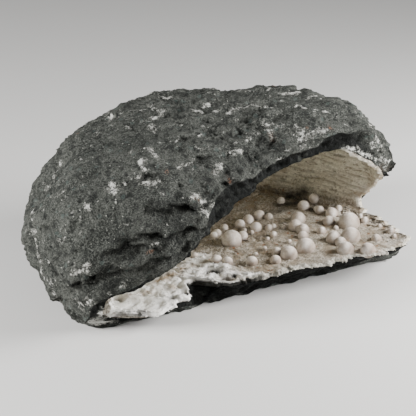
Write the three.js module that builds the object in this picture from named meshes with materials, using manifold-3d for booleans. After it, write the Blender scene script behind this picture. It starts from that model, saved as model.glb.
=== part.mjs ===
// A nodule of dark basalt, broken open along its front and right side. A sugary crust
// lines the hollow, and round white puffballs of okenite have grown on its floor.
// Millimetres, +Z up, +X along the nodule, -Y towards the open side. The nodule stands
// on a worn flat at z = 0, below the middle of its outline.
import * as THREE from 'three';
import { mergeVertices } from 'three/addons/utils/BufferGeometryUtils.js';
import Module from 'manifold-3d';

const wasm = await Module();
wasm.setup();

// ---------------------------------------------------------------- driving dimensions
// Every surface is measured outwards from one point in the middle of the nodule.
const HEART = new THREE.Vector3(3.4, 6.4, 50);

const CRUST_THICKNESS = 2.2;     // the sugary lining of the hollow
const SEAM = 0.35;               // clearance between the lining and the basalt behind it
const BALL_SINK = 0.45;          // how far a puffball's centre stands off, in its radii
const BALL_ROOT = 1.1;           // how deep a puffball is rooted in the lining
const LARGE_BALL = 5.5;          // a puffball larger than this has finer facets
const BALL_LIMIT = 0.985;        // the balls end just short of the rim, as a share of the way to it
const WELD = 0.01;               // corners nearer to each other than this are one
const WAY_OUT = 380;             // well past the opening, as seen from the heart

// Reach and keel are given every 30 degrees of bearing, from +X counter-clockwise: how
// far the form reaches at mid height, and how deep it would go below. Crown is its
// height above the heart. A flat is [bearing, rise, distance from the heart], a swell
// is [bearing, rise, height, spread in degrees].
const STONE = {
  reach: [103, 92, 72, 64, 71, 91, 120, 120, 90, 66, 80, 150],
  keel: [70, 70, 70, 70, 70, 60, 52, 78, 90, 95, 95, 120],
  crown: 48,
  sharpness: 26,
  // the first flat lies just below the ground, so that the stone is worn off level there
  flats: [[0, -90, 51.5], [-88, -42, 66], [161, 36, 85], [-14, 8, 104], [-25, 24, 100],
    [-6, 40, 88], [-174, -20, 112]],
  swells: [
    [135, 54, 4, 22], [88, 50, 2, 16], [5, 33, 7, 26], [35, 45, -3, 18],
    // ledges and their undercuts low on the left flank, knobs and hollows elsewhere
    [-128, 15, 2.5, 7], [-126, 7, -2.5, 6], [-137, 6, 2.5, 7], [-151, -2, 3, 7], [-150, -10, -2, 6],
    [-145, 32, 2, 8], [-148, 18, 1.6, 6], [-76, 39, -2.5, 9], [-60, 62, 1.6, 10], [-34, 29, -2.5, 5],
    [60, 20, 3, 14], [100, 8, -3, 12], [145, 6, 1, 13], [110, 35, 1.5, 12], [20, 2, -3, 12],
    [156, 20, -3, 12], [171, -9, -4, 8], [-30, 10, 3.5, 8],
  ],
  grain: 0.8,
};
const HOLLOW = {
  reach: [93, 82, 62, 54, 61, 76, 98, 118, 88, 62, 70, 146],
  keel: [90, 80, 75, 75, 75, 70, 66, 75, 95, 110, 120, 140],
  crown: 39,
  sharpness: 18,
  flats: [[0, -86.5, 37], [161, 36, 73], [-10, 24, 93], [-25, 30, 89], [166, -5, 84],
    [-122, 14, 80], [-92, 14, 60]],
  swells: [[135, 54, 4, 22], [5, 33, 7, 26], [35, 45, -3, 18]],
  grain: 0.3,
};
const CROWN_POWER = 2.4;         // above mid height the form is nearly an ellipsoid
const KEEL_POWER = 3.4;          // below it the sides stand straighter
const GROUND_SNAP = 0.2;         // lower than this the stone is worn flat on z = 0

// The break runs round the opening. Both edges are [bearing, rise] seen from the heart.
const OUTER_EDGE = [
  // up the lip, from the foot at the left end to its crown
  [-155, -24], [-151, -17], [-146, -12], [-142, -10], [-138, -9], [-131, -6], [-125, -2],
  [-119, 6], [-117, 14], [-112, 19], [-106, 22], [-97, 23], [-84, 27], [-70, 29],
  [-57, 28], [-49, 29], [-44, 26], [-39, 24],
  // down the roof's right end and the edge of the back wall
  [-35, 18], [-31, 12], [-27, 6], [-20, 1], [-12, -1], [-5, -3], [0, -7], [3, -13], [2, -19],
  // round the floor slab's tip and back along its lower front edge
  [-5, -22], [-12, -22], [-19, -22], [-25, -23], [-29, -25], [-34, -32], [-48, -41],
  [-75, -47], [-97, -48], [-120, -43], [-130, -37], [-142, -30], [-149, -27],
];
const INNER_EDGE = [
  // up the lip and along the roof
  [-150, -18], [-147, -15], [-142, -15], [-136, -12], [-131, -10], [-126, -7], [-121, -2],
  [-118, 2], [-113, 5], [-108, 8], [-103, 13], [-94, 16], [-89, 20], [-81, 22],
  [-67, 24], [-54, 24], [-46, 22], [-42, 17],
  // down the edge of the back wall
  [-36, 10], [-28, 5], [-20, 0], [-11, -4], [-8, -7], [-5.5, -10], [-4.5, -13], [-4.5, -16.5],
  // round the rim of the floor, with a notch beside the white mass at its left end
  [-8, -17.5], [-12, -17], [-17, -16.3], [-21, -16], [-26, -15.5], [-31, -15], [-35, -16], [-38, -18],
  [-43, -20], [-47, -23], [-55, -26], [-66, -29], [-76, -31], [-84, -34], [-98, -35],
  [-109, -37], [-119, -40], [-127, -40], [-129, -34], [-130, -29], [-134, -26],
  [-139, -24], [-145, -24], [-148, -23], [-151, -22],
];
const OPENING_AXIS = [-55, -5];  // the middle of the opening, seen from the heart

const EDGE_SAMPLES = 24;         // between two given points of an edge
const SPOKES = 64;               // round the opening
const STONE_RINGS = 13;          // from the back of the nodule to the break
const LINING_RINGS = 8;          // from the back of the hollow to the break
const BREAK_RINGS = 2;           // across the broken face

// ---------------------------------------------------------------- form
const radians = THREE.MathUtils.degToRad;

function direction(bearing, rise) {
  const b = radians(bearing);
  const r = radians(rise);
  return new THREE.Vector3(Math.cos(r) * Math.cos(b), Math.cos(r) * Math.sin(b), Math.sin(r));
}

// A smooth closed curve through values spaced evenly round the compass.
function around(values, bearing) {
  const n = values.length;
  const x = (((bearing / (2 * Math.PI)) % 1 + 1) % 1) * n;
  const i = Math.floor(x);
  const f = x - i;
  const [p, q, r, s] = [-1, 0, 1, 2].map((k) => values[(i + k + n) % n]);
  return 0.5 * (2 * q + (r - p) * f + (2 * p - 5 * q + 4 * r - s) * f * f
    + (3 * q - p - 3 * r + s) * f * f * f);
}

// Low natural unevenness of the surface, between about -1 and 1.
function unevenness(d) {
  return (Math.sin(9 * d.x + 4 * d.y + 1.3) * Math.sin(8 * d.z - 3 * d.x + 0.4)
    + 0.6 * Math.sin(17 * d.y + 7 * d.z) * Math.sin(15 * d.x - 6 * d.z + 2.1)) / 1.3;
}

function radius(form, d) {
  const bearing = Math.atan2(d.y, d.x);
  const level = Math.hypot(d.x, d.y) / around(form.reach, bearing);
  const [height, power] = d.z > 0
    ? [form.crown, CROWN_POWER] : [around(form.keel, bearing), KEEL_POWER];
  const round = (level ** power + (Math.abs(d.z) / height) ** power) ** (1 / power);
  let sum = round ** form.sharpness;
  for (const [b, r, distance] of form.flats) {
    sum += Math.max(0, d.dot(direction(b, r)) / distance) ** form.sharpness;
  }
  let result = sum ** (-1 / form.sharpness);
  for (const [b, r, swell, spread] of form.swells) {
    result += swell * Math.exp(-((d.angleTo(direction(b, r)) / radians(spread)) ** 2));
  }
  return result + form.grain * unevenness(d);
}

function surfacePoint(form, d, offset = 0) {
  const p = d.clone().multiplyScalar(radius(form, d) + offset).add(HEART);
  if (p.z < GROUND_SNAP) p.z = 0;
  return p;
}

// ---------------------------------------------------------------- the edges of the break
const axis = direction(...OPENING_AXIS);
const backPole = axis.clone().negate();
const acrossAxis = new THREE.Vector3(0, 0, 1).cross(axis).normalize();
const upAxis = axis.clone().cross(acrossAxis);

// The edge's direction at each spoke, the spokes being spaced evenly round the axis.
function edgeDirections(edge) {
  const curve = new THREE.CatmullRomCurve3(edge.map((e) => direction(...e)), true, 'catmullrom', 0.5);
  const samples = curve.getPoints(edge.length * EDGE_SAMPLES).slice(0, -1).map((v) => v.normalize());
  const turn = samples.map((v) => Math.atan2(v.dot(upAxis), v.dot(acrossAxis)));
  const order = samples.map((_, i) => i).sort((i, j) => turn[i] - turn[j]);
  const gap = (a, b) => ((b - a) % (2 * Math.PI) + 2 * Math.PI) % (2 * Math.PI);
  return Array.from({ length: SPOKES }, (_, s) => {
    const angle = -Math.PI + (2 * Math.PI * s) / SPOKES;
    let next = order.findIndex((i) => turn[i] > angle);
    if (next < 0) next = 0;
    const i = order[(next - 1 + order.length) % order.length];
    const j = order[next];
    const f = gap(turn[i], angle) / gap(turn[i], turn[j]);
    return samples[i].clone().lerp(samples[j], f).normalize();
  });
}

// From one direction to another, along the great circle between them.
function swing(from, to, t) {
  const w = from.angleTo(to);
  return from.clone().multiplyScalar(Math.sin((1 - t) * w))
    .addScaledVector(to, Math.sin(t * w)).divideScalar(Math.sin(w)).normalize();
}

const outerEdge = edgeDirections(OUTER_EDGE);
const innerEdge = edgeDirections(INNER_EDGE);

// ---------------------------------------------------------------- meshes
// Rows of points, each row once round, closed by a single point at either end. From the
// turning row on the skin leads back in, and its quads are split so that they lie
// parallel to those of a skin that leads out.
function skin(firstPole, rows, lastPole, turning = rows.length) {
  const points = [firstPole, ...rows.flat(), lastPole];
  const faces = [];
  const at = (row, s) => 1 + row * SPOKES + (s % SPOKES);
  const last = points.length - 1;
  for (let s = 0; s < SPOKES; s++) {
    faces.push(0, at(0, s + 1), at(0, s));
    for (let row = 0; row + 1 < rows.length; row++) {
      const [a, b, c, d] = [at(row, s), at(row, s + 1), at(row + 1, s + 1), at(row + 1, s)];
      if (row < turning) faces.push(a, c, d, a, b, c);
      else faces.push(a, b, d, b, c, d);
    }
    faces.push(at(rows.length - 1, s), at(rows.length - 1, s + 1), last);
  }
  const geometry = new THREE.BufferGeometry();
  const places = points.flatMap((p) => p.toArray());
  geometry.setAttribute('position', new THREE.Float32BufferAttribute(places, 3));
  geometry.setIndex(faces);
  return geometry;
}

function toSolid(geometry) {
  const bare = geometry.clone();
  bare.deleteAttribute('normal');
  bare.deleteAttribute('uv');
  const merged = mergeVertices(bare, 1e-3);
  return new wasm.Manifold(new wasm.Mesh({
    numProp: 3,
    vertProperties: new Float32Array(merged.attributes.position.array),
    triVerts: new Uint32Array(merged.index.array),
  }));
}

// Corners closer than the weld become one, and the slivers between them are dropped.
function toGeometry(solid) {
  const mesh = solid.getMesh();
  const cut = new THREE.BufferGeometry();
  cut.setAttribute('position', new THREE.BufferAttribute(new Float32Array(mesh.vertProperties), 3));
  cut.setIndex(new THREE.BufferAttribute(new Uint32Array(mesh.triVerts), 1));
  const geometry = mergeVertices(cut, WELD);
  const faces = [];
  for (let i = 0; i < geometry.index.count; i += 3) {
    const corners = [0, 1, 2].map((k) => geometry.index.getX(i + k));
    if (new Set(corners).size === 3) faces.push(...corners);
  }
  geometry.setIndex(faces);
  return geometry;
}

// One row of surface points, a share t of the way from the back pole to the edge.
function row(form, edge, t, offset) {
  return edge.map((e) => surfacePoint(form, swing(backPole, e, t), offset));
}

// ---------------------------------------------------------------- basalt shell
function basaltShell() {
  const inside = CRUST_THICKNESS + SEAM;
  const rows = [];
  for (let k = 1; k <= STONE_RINGS; k++) rows.push(row(STONE, outerEdge, k / STONE_RINGS, 0));
  const outerRim = rows[rows.length - 1];
  const innerRim = row(HOLLOW, innerEdge, 1, inside);
  for (let k = 1; k <= BREAK_RINGS; k++) {
    const f = k / (BREAK_RINGS + 1);
    rows.push(outerRim.map((p, s) => p.clone().lerp(innerRim[s], f)));
  }
  for (let k = LINING_RINGS; k >= 1; k--) rows.push(row(HOLLOW, innerEdge, k / LINING_RINGS, inside));
  return skin(surfacePoint(STONE, backPole), rows, surfacePoint(HOLLOW, backPole, inside), STONE_RINGS);
}

// ---------------------------------------------------------------- okenite crust
// [bearing, rise, radius] of each puffball, seen from the heart.
const PUFFBALLS = [
  // the large ball behind the lip's foot, with its ring of small ones
  [-26, -68, 6], [-7, -58, 3.2], [24, -48, 3.2], [24, -41, 3.4], [42, -66, 2.5],
  [-107, -56, 3.6], [-95, -52, 3.1], [-144, -65, 2.3], [-76, -44, 3.5],
  // the cluster towards the back of the floor
  [22, -35, 3.5], [15, -34, 2.7], [5, -45, 3.5], [-1, -40, 2.3], [-15, -41, 2.2],
  [24, -24, 2.7], [11, -23, 3.8], [11, -19, 3.3], [3, -22, 3], [-1, -19, 2.4],
  // the row that crosses the middle of the floor
  [0, -28, 4.4], [-9, -31, 4.4], [-15, -30, 3.9], [-23, -31, 3.1], [-19, -26, 2.9],
  [-41, -30, 5.8], [-52, -34, 5], [-51, -39, 3.3], [-63, -37, 3.3],
  // the cluster on the right, towards the slab's tip
  [-3, -21, 3.9], [-10, -23, 3.7], [-15, -20, 6.5], [-29, -24, 4.6], [-28, -21, 5.8],
  [-33, -23, 3.5], [-41, -22, 5.1], [-40, -19, 4.5], [-30, -18, 2.9],
  [-14, -18, 2.4], [-25, -16, 2.4],
  // under the roof, at the hollow's left end
  [170, -45, 4], [178, -36, 5], [-170, -30, 3.6], [150, -48, 4.6],
];

function puffball([bearing, rise, size]) {
  const centre = surfacePoint(HOLLOW, direction(bearing, rise), -BALL_SINK * size);
  const geometry = new THREE.IcosahedronGeometry(size, size > LARGE_BALL ? 2 : 1);
  return toSolid(geometry.rotateZ(radians(bearing)).translate(...centre.toArray()));
}

// The lining's rows of points, at a depth below its surface, from the back to the break
// or to a share of the way there.
function liningRows(depth, limit = 1) {
  const share = (k) => (limit * (k + 1)) / LINING_RINGS;
  return Array.from({ length: LINING_RINGS }, (_, k) => row(HOLLOW, innerEdge, share(k), depth));
}

function okeniteCrust() {
  const rows = [...liningRows(CRUST_THICKNESS), ...liningRows(0).reverse()];
  const behind = surfacePoint(HOLLOW, backPole, CRUST_THICKNESS);
  const front = surfacePoint(HOLLOW, backPole);
  const lining = toSolid(skin(behind, rows, front, LINING_RINGS));
  // The room the puffballs may fill: the hollow, and a cone out through its opening.
  const outside = axis.clone().multiplyScalar(WAY_OUT).add(HEART);
  const root = surfacePoint(HOLLOW, backPole, BALL_ROOT);
  const room = toSolid(skin(root, liningRows(BALL_ROOT, BALL_LIMIT), outside));
  let balls = puffball(PUFFBALLS[0]);
  for (const ball of PUFFBALLS.slice(1)) balls = balls.add(puffball(ball));
  return toGeometry(lining.add(balls.intersect(room)));
}

// ---------------------------------------------------------------- materials and scene
function material(color, roughness) {
  return new THREE.MeshStandardMaterial({ color, roughness, metalness: 0 });
}

function piece(name, geometry, finish) {
  const mesh = new THREE.Mesh(geometry, finish);
  mesh.name = name;
  return mesh;
}

const specimen = new THREE.Group();
specimen.add(piece('basalt_shell', basaltShell(), material(0x5c5d57, 0.85)));
specimen.add(piece('okenite_crust', okeniteCrust(), material(0xc8bfb0, 0.95)));

export default specimen;
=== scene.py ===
# %% [markdown]
# # Okenite puffballs in a basalt vug
#
# The specimen is a nodule of dark basalt, broken open along its front and right side. Its
# hollow is lined with a sugary crust, and round white balls of okenite stand on the floor.
# Nothing moves, so every piece rides on the one body. The rock and the crust take the places
# of two plain solids, which have the same forms with fewer facets.

import bpy
import numpy as np
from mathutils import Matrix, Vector, noise


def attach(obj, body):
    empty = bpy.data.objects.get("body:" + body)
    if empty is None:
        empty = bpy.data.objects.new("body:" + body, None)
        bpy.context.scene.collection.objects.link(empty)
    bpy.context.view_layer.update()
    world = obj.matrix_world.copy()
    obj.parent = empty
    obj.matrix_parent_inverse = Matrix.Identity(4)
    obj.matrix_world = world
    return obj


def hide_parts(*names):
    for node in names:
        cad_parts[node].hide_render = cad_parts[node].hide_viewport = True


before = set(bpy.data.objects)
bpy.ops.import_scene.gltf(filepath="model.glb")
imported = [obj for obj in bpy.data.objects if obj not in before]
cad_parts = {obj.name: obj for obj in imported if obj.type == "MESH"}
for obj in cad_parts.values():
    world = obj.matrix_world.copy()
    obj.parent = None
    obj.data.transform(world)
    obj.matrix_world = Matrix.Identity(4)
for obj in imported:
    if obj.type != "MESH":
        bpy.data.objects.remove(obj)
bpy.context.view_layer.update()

MM = 0.001
print("solids in the frame:", sorted(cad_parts))

# %% [markdown]
# ## The form of the stone and of its hollow
#
# A rounded stone could be sculpted by hand, or cast from a scan. Here both the outside of
# the nodule and its hollow are formulas instead: how far the surface lies from one point
# in the middle, for any direction. A formula can be sampled as finely as the finish asks,
# and a fine skin then lies exactly on the plain solid.

# %% Driving sizes, in millimetres
HEART = np.array([3.4, 6.4, 50.0])
CRUST_THICKNESS = 2.2
SEAM = 0.35
BALL_SINK = 0.45
CROWN_POWER = 2.4
KEEL_POWER = 3.4
GROUND_SNAP = 0.2

# A form's reach on the level and its depth under the heart, its keel, are given every 30
# degrees round the compass, and its crown is its height over the heart. A flat is a bearing,
# a rise and a distance, and a swell is a bearing, a rise, a height and a spread in degrees.
STONE = dict(
    reach=[103, 92, 72, 64, 71, 91, 120, 120, 90, 66, 80, 150],
    keel=[70, 70, 70, 70, 70, 60, 52, 78, 90, 95, 95, 120],
    crown=48, sharpness=26, grain=0.8,
    flats=[(0, -90, 51.5), (-88, -42, 66), (161, 36, 85), (-14, 8, 104), (-25, 24, 100),
           (-6, 40, 88), (-174, -20, 112)],
    swells=[(135, 54, 4, 22), (88, 50, 2, 16), (5, 33, 7, 26), (35, 45, -3, 18),
            (-128, 15, 2.5, 7), (-126, 7, -2.5, 6), (-137, 6, 2.5, 7), (-151, -2, 3, 7),
            (-150, -10, -2, 6), (-145, 32, 2, 8), (-148, 18, 1.6, 6), (-76, 39, -2.5, 9),
            (-60, 62, 1.6, 10), (-34, 29, -2.5, 5), (60, 20, 3, 14), (100, 8, -3, 12),
            (145, 6, 1, 13), (110, 35, 1.5, 12), (20, 2, -3, 12), (156, 20, -3, 12),
            (171, -9, -4, 8), (-30, 10, 3.5, 8)],
)
HOLLOW = dict(
    reach=[93, 82, 62, 54, 61, 76, 98, 118, 88, 62, 70, 146],
    keel=[90, 80, 75, 75, 75, 70, 66, 75, 95, 110, 120, 140],
    crown=39, sharpness=18, grain=0.3,
    flats=[(0, -86.5, 37), (161, 36, 73), (-10, 24, 93), (-25, 30, 89), (166, -5, 84),
           (-122, 14, 80), (-92, 14, 60)],
    swells=[(135, 54, 4, 22), (5, 33, 7, 26), (35, 45, -3, 18)],
)
print("flats and swells of the stone:", len(STONE["flats"]), "and", len(STONE["swells"]))

# %% The two edges of the break
# Each point is a bearing and a rise, seen from the heart.
OUTER_EDGE = [
    (-155, -24), (-151, -17), (-146, -12), (-142, -10), (-138, -9), (-131, -6), (-125, -2),
    (-119, 6), (-117, 14), (-112, 19), (-106, 22), (-97, 23), (-84, 27), (-70, 29), (-57, 28),
    (-49, 29), (-44, 26), (-39, 24), (-35, 18), (-31, 12), (-27, 6), (-20, 1), (-12, -1), (-5, -3),
    (0, -7), (3, -13), (2, -19), (-5, -22), (-12, -22), (-19, -22), (-25, -23), (-29, -25),
    (-34, -32), (-48, -41), (-75, -47), (-97, -48), (-120, -43), (-130, -37), (-142, -30),
    (-149, -27),
]
INNER_EDGE = [
    (-150, -18), (-147, -15), (-142, -15), (-136, -12), (-131, -10), (-126, -7), (-121, -2),
    (-118, 2), (-113, 5), (-108, 8), (-103, 13), (-94, 16), (-89, 20), (-81, 22), (-67, 24),
    (-54, 24), (-46, 22), (-42, 17), (-36, 10), (-28, 5), (-20, 0), (-11, -4), (-8, -7),
    (-5.5, -10), (-4.5, -13), (-4.5, -16.5), (-8, -17.5), (-12, -17), (-17, -16.3), (-21, -16),
    (-26, -15.5), (-31, -15), (-35, -16), (-38, -18), (-43, -20), (-47, -23), (-55, -26),
    (-66, -29), (-76, -31), (-84, -34), (-98, -35), (-109, -37), (-119, -40), (-127, -40),
    (-129, -34), (-130, -29), (-134, -26), (-139, -24), (-145, -24), (-148, -23), (-151, -22),
]
OPENING_AXIS = (-55, -5)
print("edges of the break:", len(OUTER_EDGE), "and", len(INNER_EDGE), "points")

# %% Directions and distances
def direction(bearing, rise):
    """The way out from the heart at a bearing and a rise, both in degrees."""
    b, r = np.radians(bearing), np.radians(rise)
    return np.stack([np.cos(r) * np.cos(b), np.cos(r) * np.sin(b), np.sin(r)], -1)


def smooth_through(values, x):
    """The smooth closed curve through a list of values, at x steps from the first one."""
    i = np.floor(x).astype(int)
    f = (x - i).reshape(x.shape + (1,) * (values.ndim - 1))
    p, q, r, s = (values[(i + k) % len(values)] for k in (-1, 0, 1, 2))
    return 0.5 * (2 * q + (r - p) * f + (2 * p - 5 * q + 4 * r - s) * f ** 2
                  + (3 * q - p - 3 * r + s) * f ** 3)


def around(values, bearing):
    """The smooth curve through values that are spaced evenly round the compass."""
    return smooth_through(np.array(values, float), (bearing / (2 * np.pi) % 1) * len(values))


def unevenness(d):
    """Gentle swells over the whole form, near -1 to 1."""
    x, y, z = d[..., 0], d[..., 1], d[..., 2]
    return (np.sin(9 * x + 4 * y + 1.3) * np.sin(8 * z - 3 * x + 0.4)
            + 0.6 * np.sin(17 * y + 7 * z) * np.sin(15 * x - 6 * z + 2.1)) / 1.3


def radius(form, d):
    """How far the form's surface lies from the heart in each direction."""
    bearing = np.arctan2(d[..., 1], d[..., 0])
    level = np.hypot(d[..., 0], d[..., 1]) / around(form["reach"], bearing)
    above = d[..., 2] > 0
    height = np.where(above, form["crown"], around(form["keel"], bearing))
    power = np.where(above, CROWN_POWER, KEEL_POWER)
    round_form = (level ** power + (np.abs(d[..., 2]) / height) ** power) ** (1 / power)
    total = round_form ** form["sharpness"]
    for b, r, distance in form["flats"]:
        total = total + np.maximum(0, d @ direction(b, r) / distance) ** form["sharpness"]
    result = total ** (-1 / form["sharpness"])
    for b, r, swell, spread in form["swells"]:
        angle = np.arccos(np.clip(d @ direction(b, r), -1, 1))
        result = result + swell * np.exp(-(angle / np.radians(spread)) ** 2)
    return result + form["grain"] * unevenness(d)


def grounded(points):
    """The points, with those that lie under the ground or just over it set on the ground."""
    points[..., 2] = np.where(points[..., 2] < GROUND_SNAP, 0, points[..., 2])
    return points


def surface(form, d, offset=0.0):
    """Points of the form's surface in each direction, moved outward by the offset."""
    return grounded(d * (radius(form, d) + offset)[..., None] + HEART)


print("height of the stone over its heart:", round(float(radius(STONE, direction(0, 90))), 1))

# %% [markdown]
# ## The edges of the break
#
# The break has two edges: one on the weathered outside and one on the crust. Each is a
# smooth closed curve of directions. Spokes that start at the back of the stone cross both of
# them, and they are spread evenly along the two edges. So a row of points round one edge has
# its partners on the other, and the broken face between them is a plain strip.

# %% Spokes and rows
axis = direction(*OPENING_AXIS)
back_pole = -axis
across_axis = np.cross([0, 0, 1], axis)
across_axis = across_axis / np.linalg.norm(across_axis)
up_axis = np.cross(axis, across_axis)
EDGE_SAMPLES = 24
SPOKE_TRIALS = 4000
EVEN_SHARE = 0.4


def unit(v):
    return v / np.linalg.norm(v, axis=-1, keepdims=True)


def edge_directions(edge, angle):
    """Where the smooth curve through an edge's points crosses the spokes at these angles."""
    given = direction(*np.array(edge, float).T)
    curve = unit(smooth_through(given, np.arange(len(given) * EDGE_SAMPLES) / EDGE_SAMPLES))
    turn = np.arctan2(curve @ up_axis, curve @ across_axis)
    order = np.argsort(turn)
    after = np.searchsorted(turn[order], angle, side="right") % len(order)
    i, j = order[after - 1], order[after]
    gap = lambda a, b: (b - a) % (2 * np.pi)
    share = (gap(turn[i], angle) / gap(turn[i], turn[j]))[:, None]
    return unit(curve[i] * (1 - share) + curve[j] * share)


def spoke_angles(spokes):
    """Angles that spread the spokes evenly along the edges, also where an edge runs outward."""
    angle = np.linspace(-np.pi, np.pi, SPOKE_TRIALS, endpoint=False)
    step = sum(np.linalg.norm(np.roll(e, -1, axis=0) - e, axis=-1)
               for e in (edge_directions(OUTER_EDGE, angle), edge_directions(INNER_EDGE, angle)))
    run = np.cumsum(step + step.mean() * EVEN_SHARE)
    return np.interp(np.arange(spokes) * run[-1] / spokes, run, angle)


def spin(edge, share):
    """Each direction moved along its spoke: 0 brings it to the back pole and 1 leaves it."""
    away = np.arccos(np.clip(edge @ back_pole, -1, 1))[..., None]
    share = share[..., None]
    return unit(np.sin((1 - share) * away) * back_pole + np.sin(share * away) * edge)


def swing(edge, shares):
    """Rows of directions from the back pole towards the edge, one row for each share."""
    return spin(edge[None], np.asarray(shares)[:, None])


print("the opening faces", axis.round(2))

# %% [markdown]
# ## The camera
#
# The camera stands in front, a little to the left and above. Its lens is long, so near and
# far parts keep their true proportions. It is set up before the pieces, because single marks
# on the stone are placed where this view shows them: a place in the view stands for the
# nearest point of the surface that shows there.

# %% Camera
CAMERA_AZIMUTH = -28
CAMERA_HEIGHT_ANGLE = 24
CAMERA_DISTANCE = 0.95
VIEW_RISE = 0.0337
LENS = 141.4
SENSOR = 36.0

# Places in the view are given in dots, in a view that is 416 dots wide.
VIEW_SIZE = 416
DOTS_PER_MM = 1.72

turn, tilt = np.radians(CAMERA_AZIMUTH), np.radians(CAMERA_HEIGHT_ANGLE)
back = Vector((np.sin(turn) * np.cos(tilt), -np.cos(turn) * np.cos(tilt), np.sin(tilt)))
up = Vector((-np.sin(turn) * np.sin(tilt), np.cos(turn) * np.sin(tilt), np.cos(tilt)))
under_heart = Vector((HEART[0] * MM, HEART[1] * MM, 0))
camera_data = bpy.data.cameras.new("camera")
camera_data.lens = LENS
camera_data.sensor_width = SENSOR
camera_data.clip_start = 0.01
camera = bpy.data.objects.new("camera", camera_data)
camera.location = under_heart + back * CAMERA_DISTANCE
aim = under_heart + up * VIEW_RISE
camera.rotation_euler = (aim - camera.location).to_track_quat("-Z", "Y").to_euler()
bpy.context.scene.collection.objects.link(camera)
bpy.context.scene.camera = camera
print("camera at", [round(v, 3) for v in camera.location])

# %% What shows where in the view
# A point counts as seen at a place if it shows within the first of these, in dots of the view,
# and if it lies less than the second, in millimetres, behind the nearest such point.
SEEN_WITHIN = 2.2
SAME_SURFACE = 10.0


def in_view(points):
    """Where points given in millimetres show: x and y in the view, and how far away they are."""
    eye = np.array(camera.location) / MM
    look = unit(np.array(aim) / MM - eye)
    right = unit(np.cross(look, [0, 0, 1]))
    away = points.reshape(-1, 3) - eye
    depth = away @ look
    scale = LENS / SENSOR * VIEW_SIZE / depth
    x = VIEW_SIZE / 2 + away @ right * scale
    y = VIEW_SIZE / 2 - away @ np.cross(right, look) * scale
    return np.stack([x, y, depth], -1)


def seen_on(shown, x, y):
    """The number of the point that the camera sees at x, y in the view."""
    miss = np.hypot(shown[:, 0] - x, shown[:, 1] - y)
    close = np.flatnonzero(miss < SEEN_WITHIN)
    if len(close) == 0:
        return None
    front = close[shown[close, 2] < shown[close, 2].min() + SAME_SURFACE]
    return front[np.argmin(miss[front])]


print("the heart shows at", in_view(HEART)[0].round(1))

# %% [markdown]
# ## Relief
#
# Rock has relief at every size, from lumps as wide as a thumb to grains. Sculpting all of
# it by hand would take days, so several noises are added up, each at its own size: rough
# lumps, drawn-out ridges, and the flat facets that frost and hammer leave. Ledges are placed
# one by one.

# %% Noises
BEAD_REACH = 0.75
CHIP_EDGE = 4.0


def fractal(points, size, octaves=4, seed=0.0):
    """Rough natural noise, near -1 to 1, with its largest lumps of the given size."""
    scaled = (points.reshape(-1, 3) / size + seed).tolist()
    values = [noise.fractal(p, 1.0, 2.0, octaves) for p in scaled]
    return np.array(values).reshape(points.shape[:-1])


def beads(points, size, seed=0.0):
    """Round bumps packed side by side: 1 on top of each and 0 in the grooves."""
    scaled = (points.reshape(-1, 3) / size + seed).tolist()
    near = np.array([noise.voronoi(p)[0][0] for p in scaled])
    return np.clip(1 - (near / BEAD_REACH) ** 2, 0, 1).reshape(points.shape[:-1])


def ridges(points, size, octaves, seed):
    """Sharp crests, 1 on top of each."""
    return 1 - 2 * np.abs(fractal(points, size, octaves, seed))


def chipped(points, size, seed, edge=CHIP_EDGE):
    """Flat facets that lean all ways, as hammered or frost-split stone has."""
    height = []
    for p in (points.reshape(-1, 3) / size + seed).tolist():
        (first, second, *_), (middle, *_) = noise.voronoi(p)
        lean = noise.cell_vector(middle * 31.7) - Vector((0.5, 0.5, 0.5))
        height.append((Vector(p) - middle).dot(lean) * min(1.0, (second - first) * edge))
    return 2 * np.array(height).reshape(points.shape[:-1])


def layered(points, rows):
    """Several noises added up, each given as its height, its kind and what that kind takes."""
    return sum(height * kind(points, *rest) for height, kind, *rest in rows)


print("noise at the heart:", round(float(fractal(HEART[None], 9.0)[0]), 3))

# %% Strokes and patches
BEND_SIZE = 7.0
BEND_SEEDS = (1.2, 13.4, 27.9)
BEND_AMOUNT = 1.6
OUT_OF_REACH = 1e3


def ramp(x, low, high):
    """0 up to low and 1 from high on, with a smooth rise between them."""
    t = np.clip((x - low) / (high - low), 0, 1)
    return t * t * (3 - 2 * t)


def local(points, bearing, rise, tilt=0.0):
    """Distances along and up the surface, in millimetres, from a place seen from the heart."""
    out = direction(bearing, rise)
    east = direction(bearing + 90, 0)
    north = np.cross(out, east)
    q = points - HEART
    x, y = q @ east, q @ north
    c, s = np.cos(np.radians(tilt)), np.sin(np.radians(tilt))
    facing = q @ out > 0
    return (np.where(facing, x * c + y * s, OUT_OF_REACH),
            np.where(facing, y * c - x * s, OUT_OF_REACH))


def stroke(points, start, end, width):
    """1 along the line between two points, fading over the width."""
    run = end - start
    share = np.clip((points - start) @ run / max(run @ run, 1e-6), 0, 1)
    away = np.linalg.norm(points - start - share[..., None] * run, axis=-1)
    return np.exp(-(away / width) ** 2)


def bent(points):
    """The points shaken a little and smoothly, so that what is drawn by them isn't straight."""
    shake = np.stack([fractal(points, BEND_SIZE, 3, seed) for seed in BEND_SEEDS], -1)
    return points + BEND_AMOUNT * shake


def strokes_in_view(points, rows):
    """The strongest of several strokes given as x, y, x, y, width and strength in the view."""
    shown = in_view(points)
    paper = bent(points)
    value = np.zeros(points.shape[:-1])
    for x0, y0, x1, y1, width, strength in rows:
        start, end = seen_on(shown, x0, y0), seen_on(shown, x1, y1)
        if start is not None and end is not None:
            ends = paper.reshape(-1, 3)[[start, end]]
            value = np.maximum(value, strength * stroke(paper, *ends, width / DOTS_PER_MM))
    return value


def patch(points, bearing, rise, length, width, tilt=0.0):
    """1 at a place seen from the heart, fading over a half length and a half width."""
    along, up = local(points, bearing, rise, tilt)
    return np.exp(-((along / length) ** 2 + (up / width) ** 2))


print("strokes bend over", BEND_SIZE, "mm")

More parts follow.
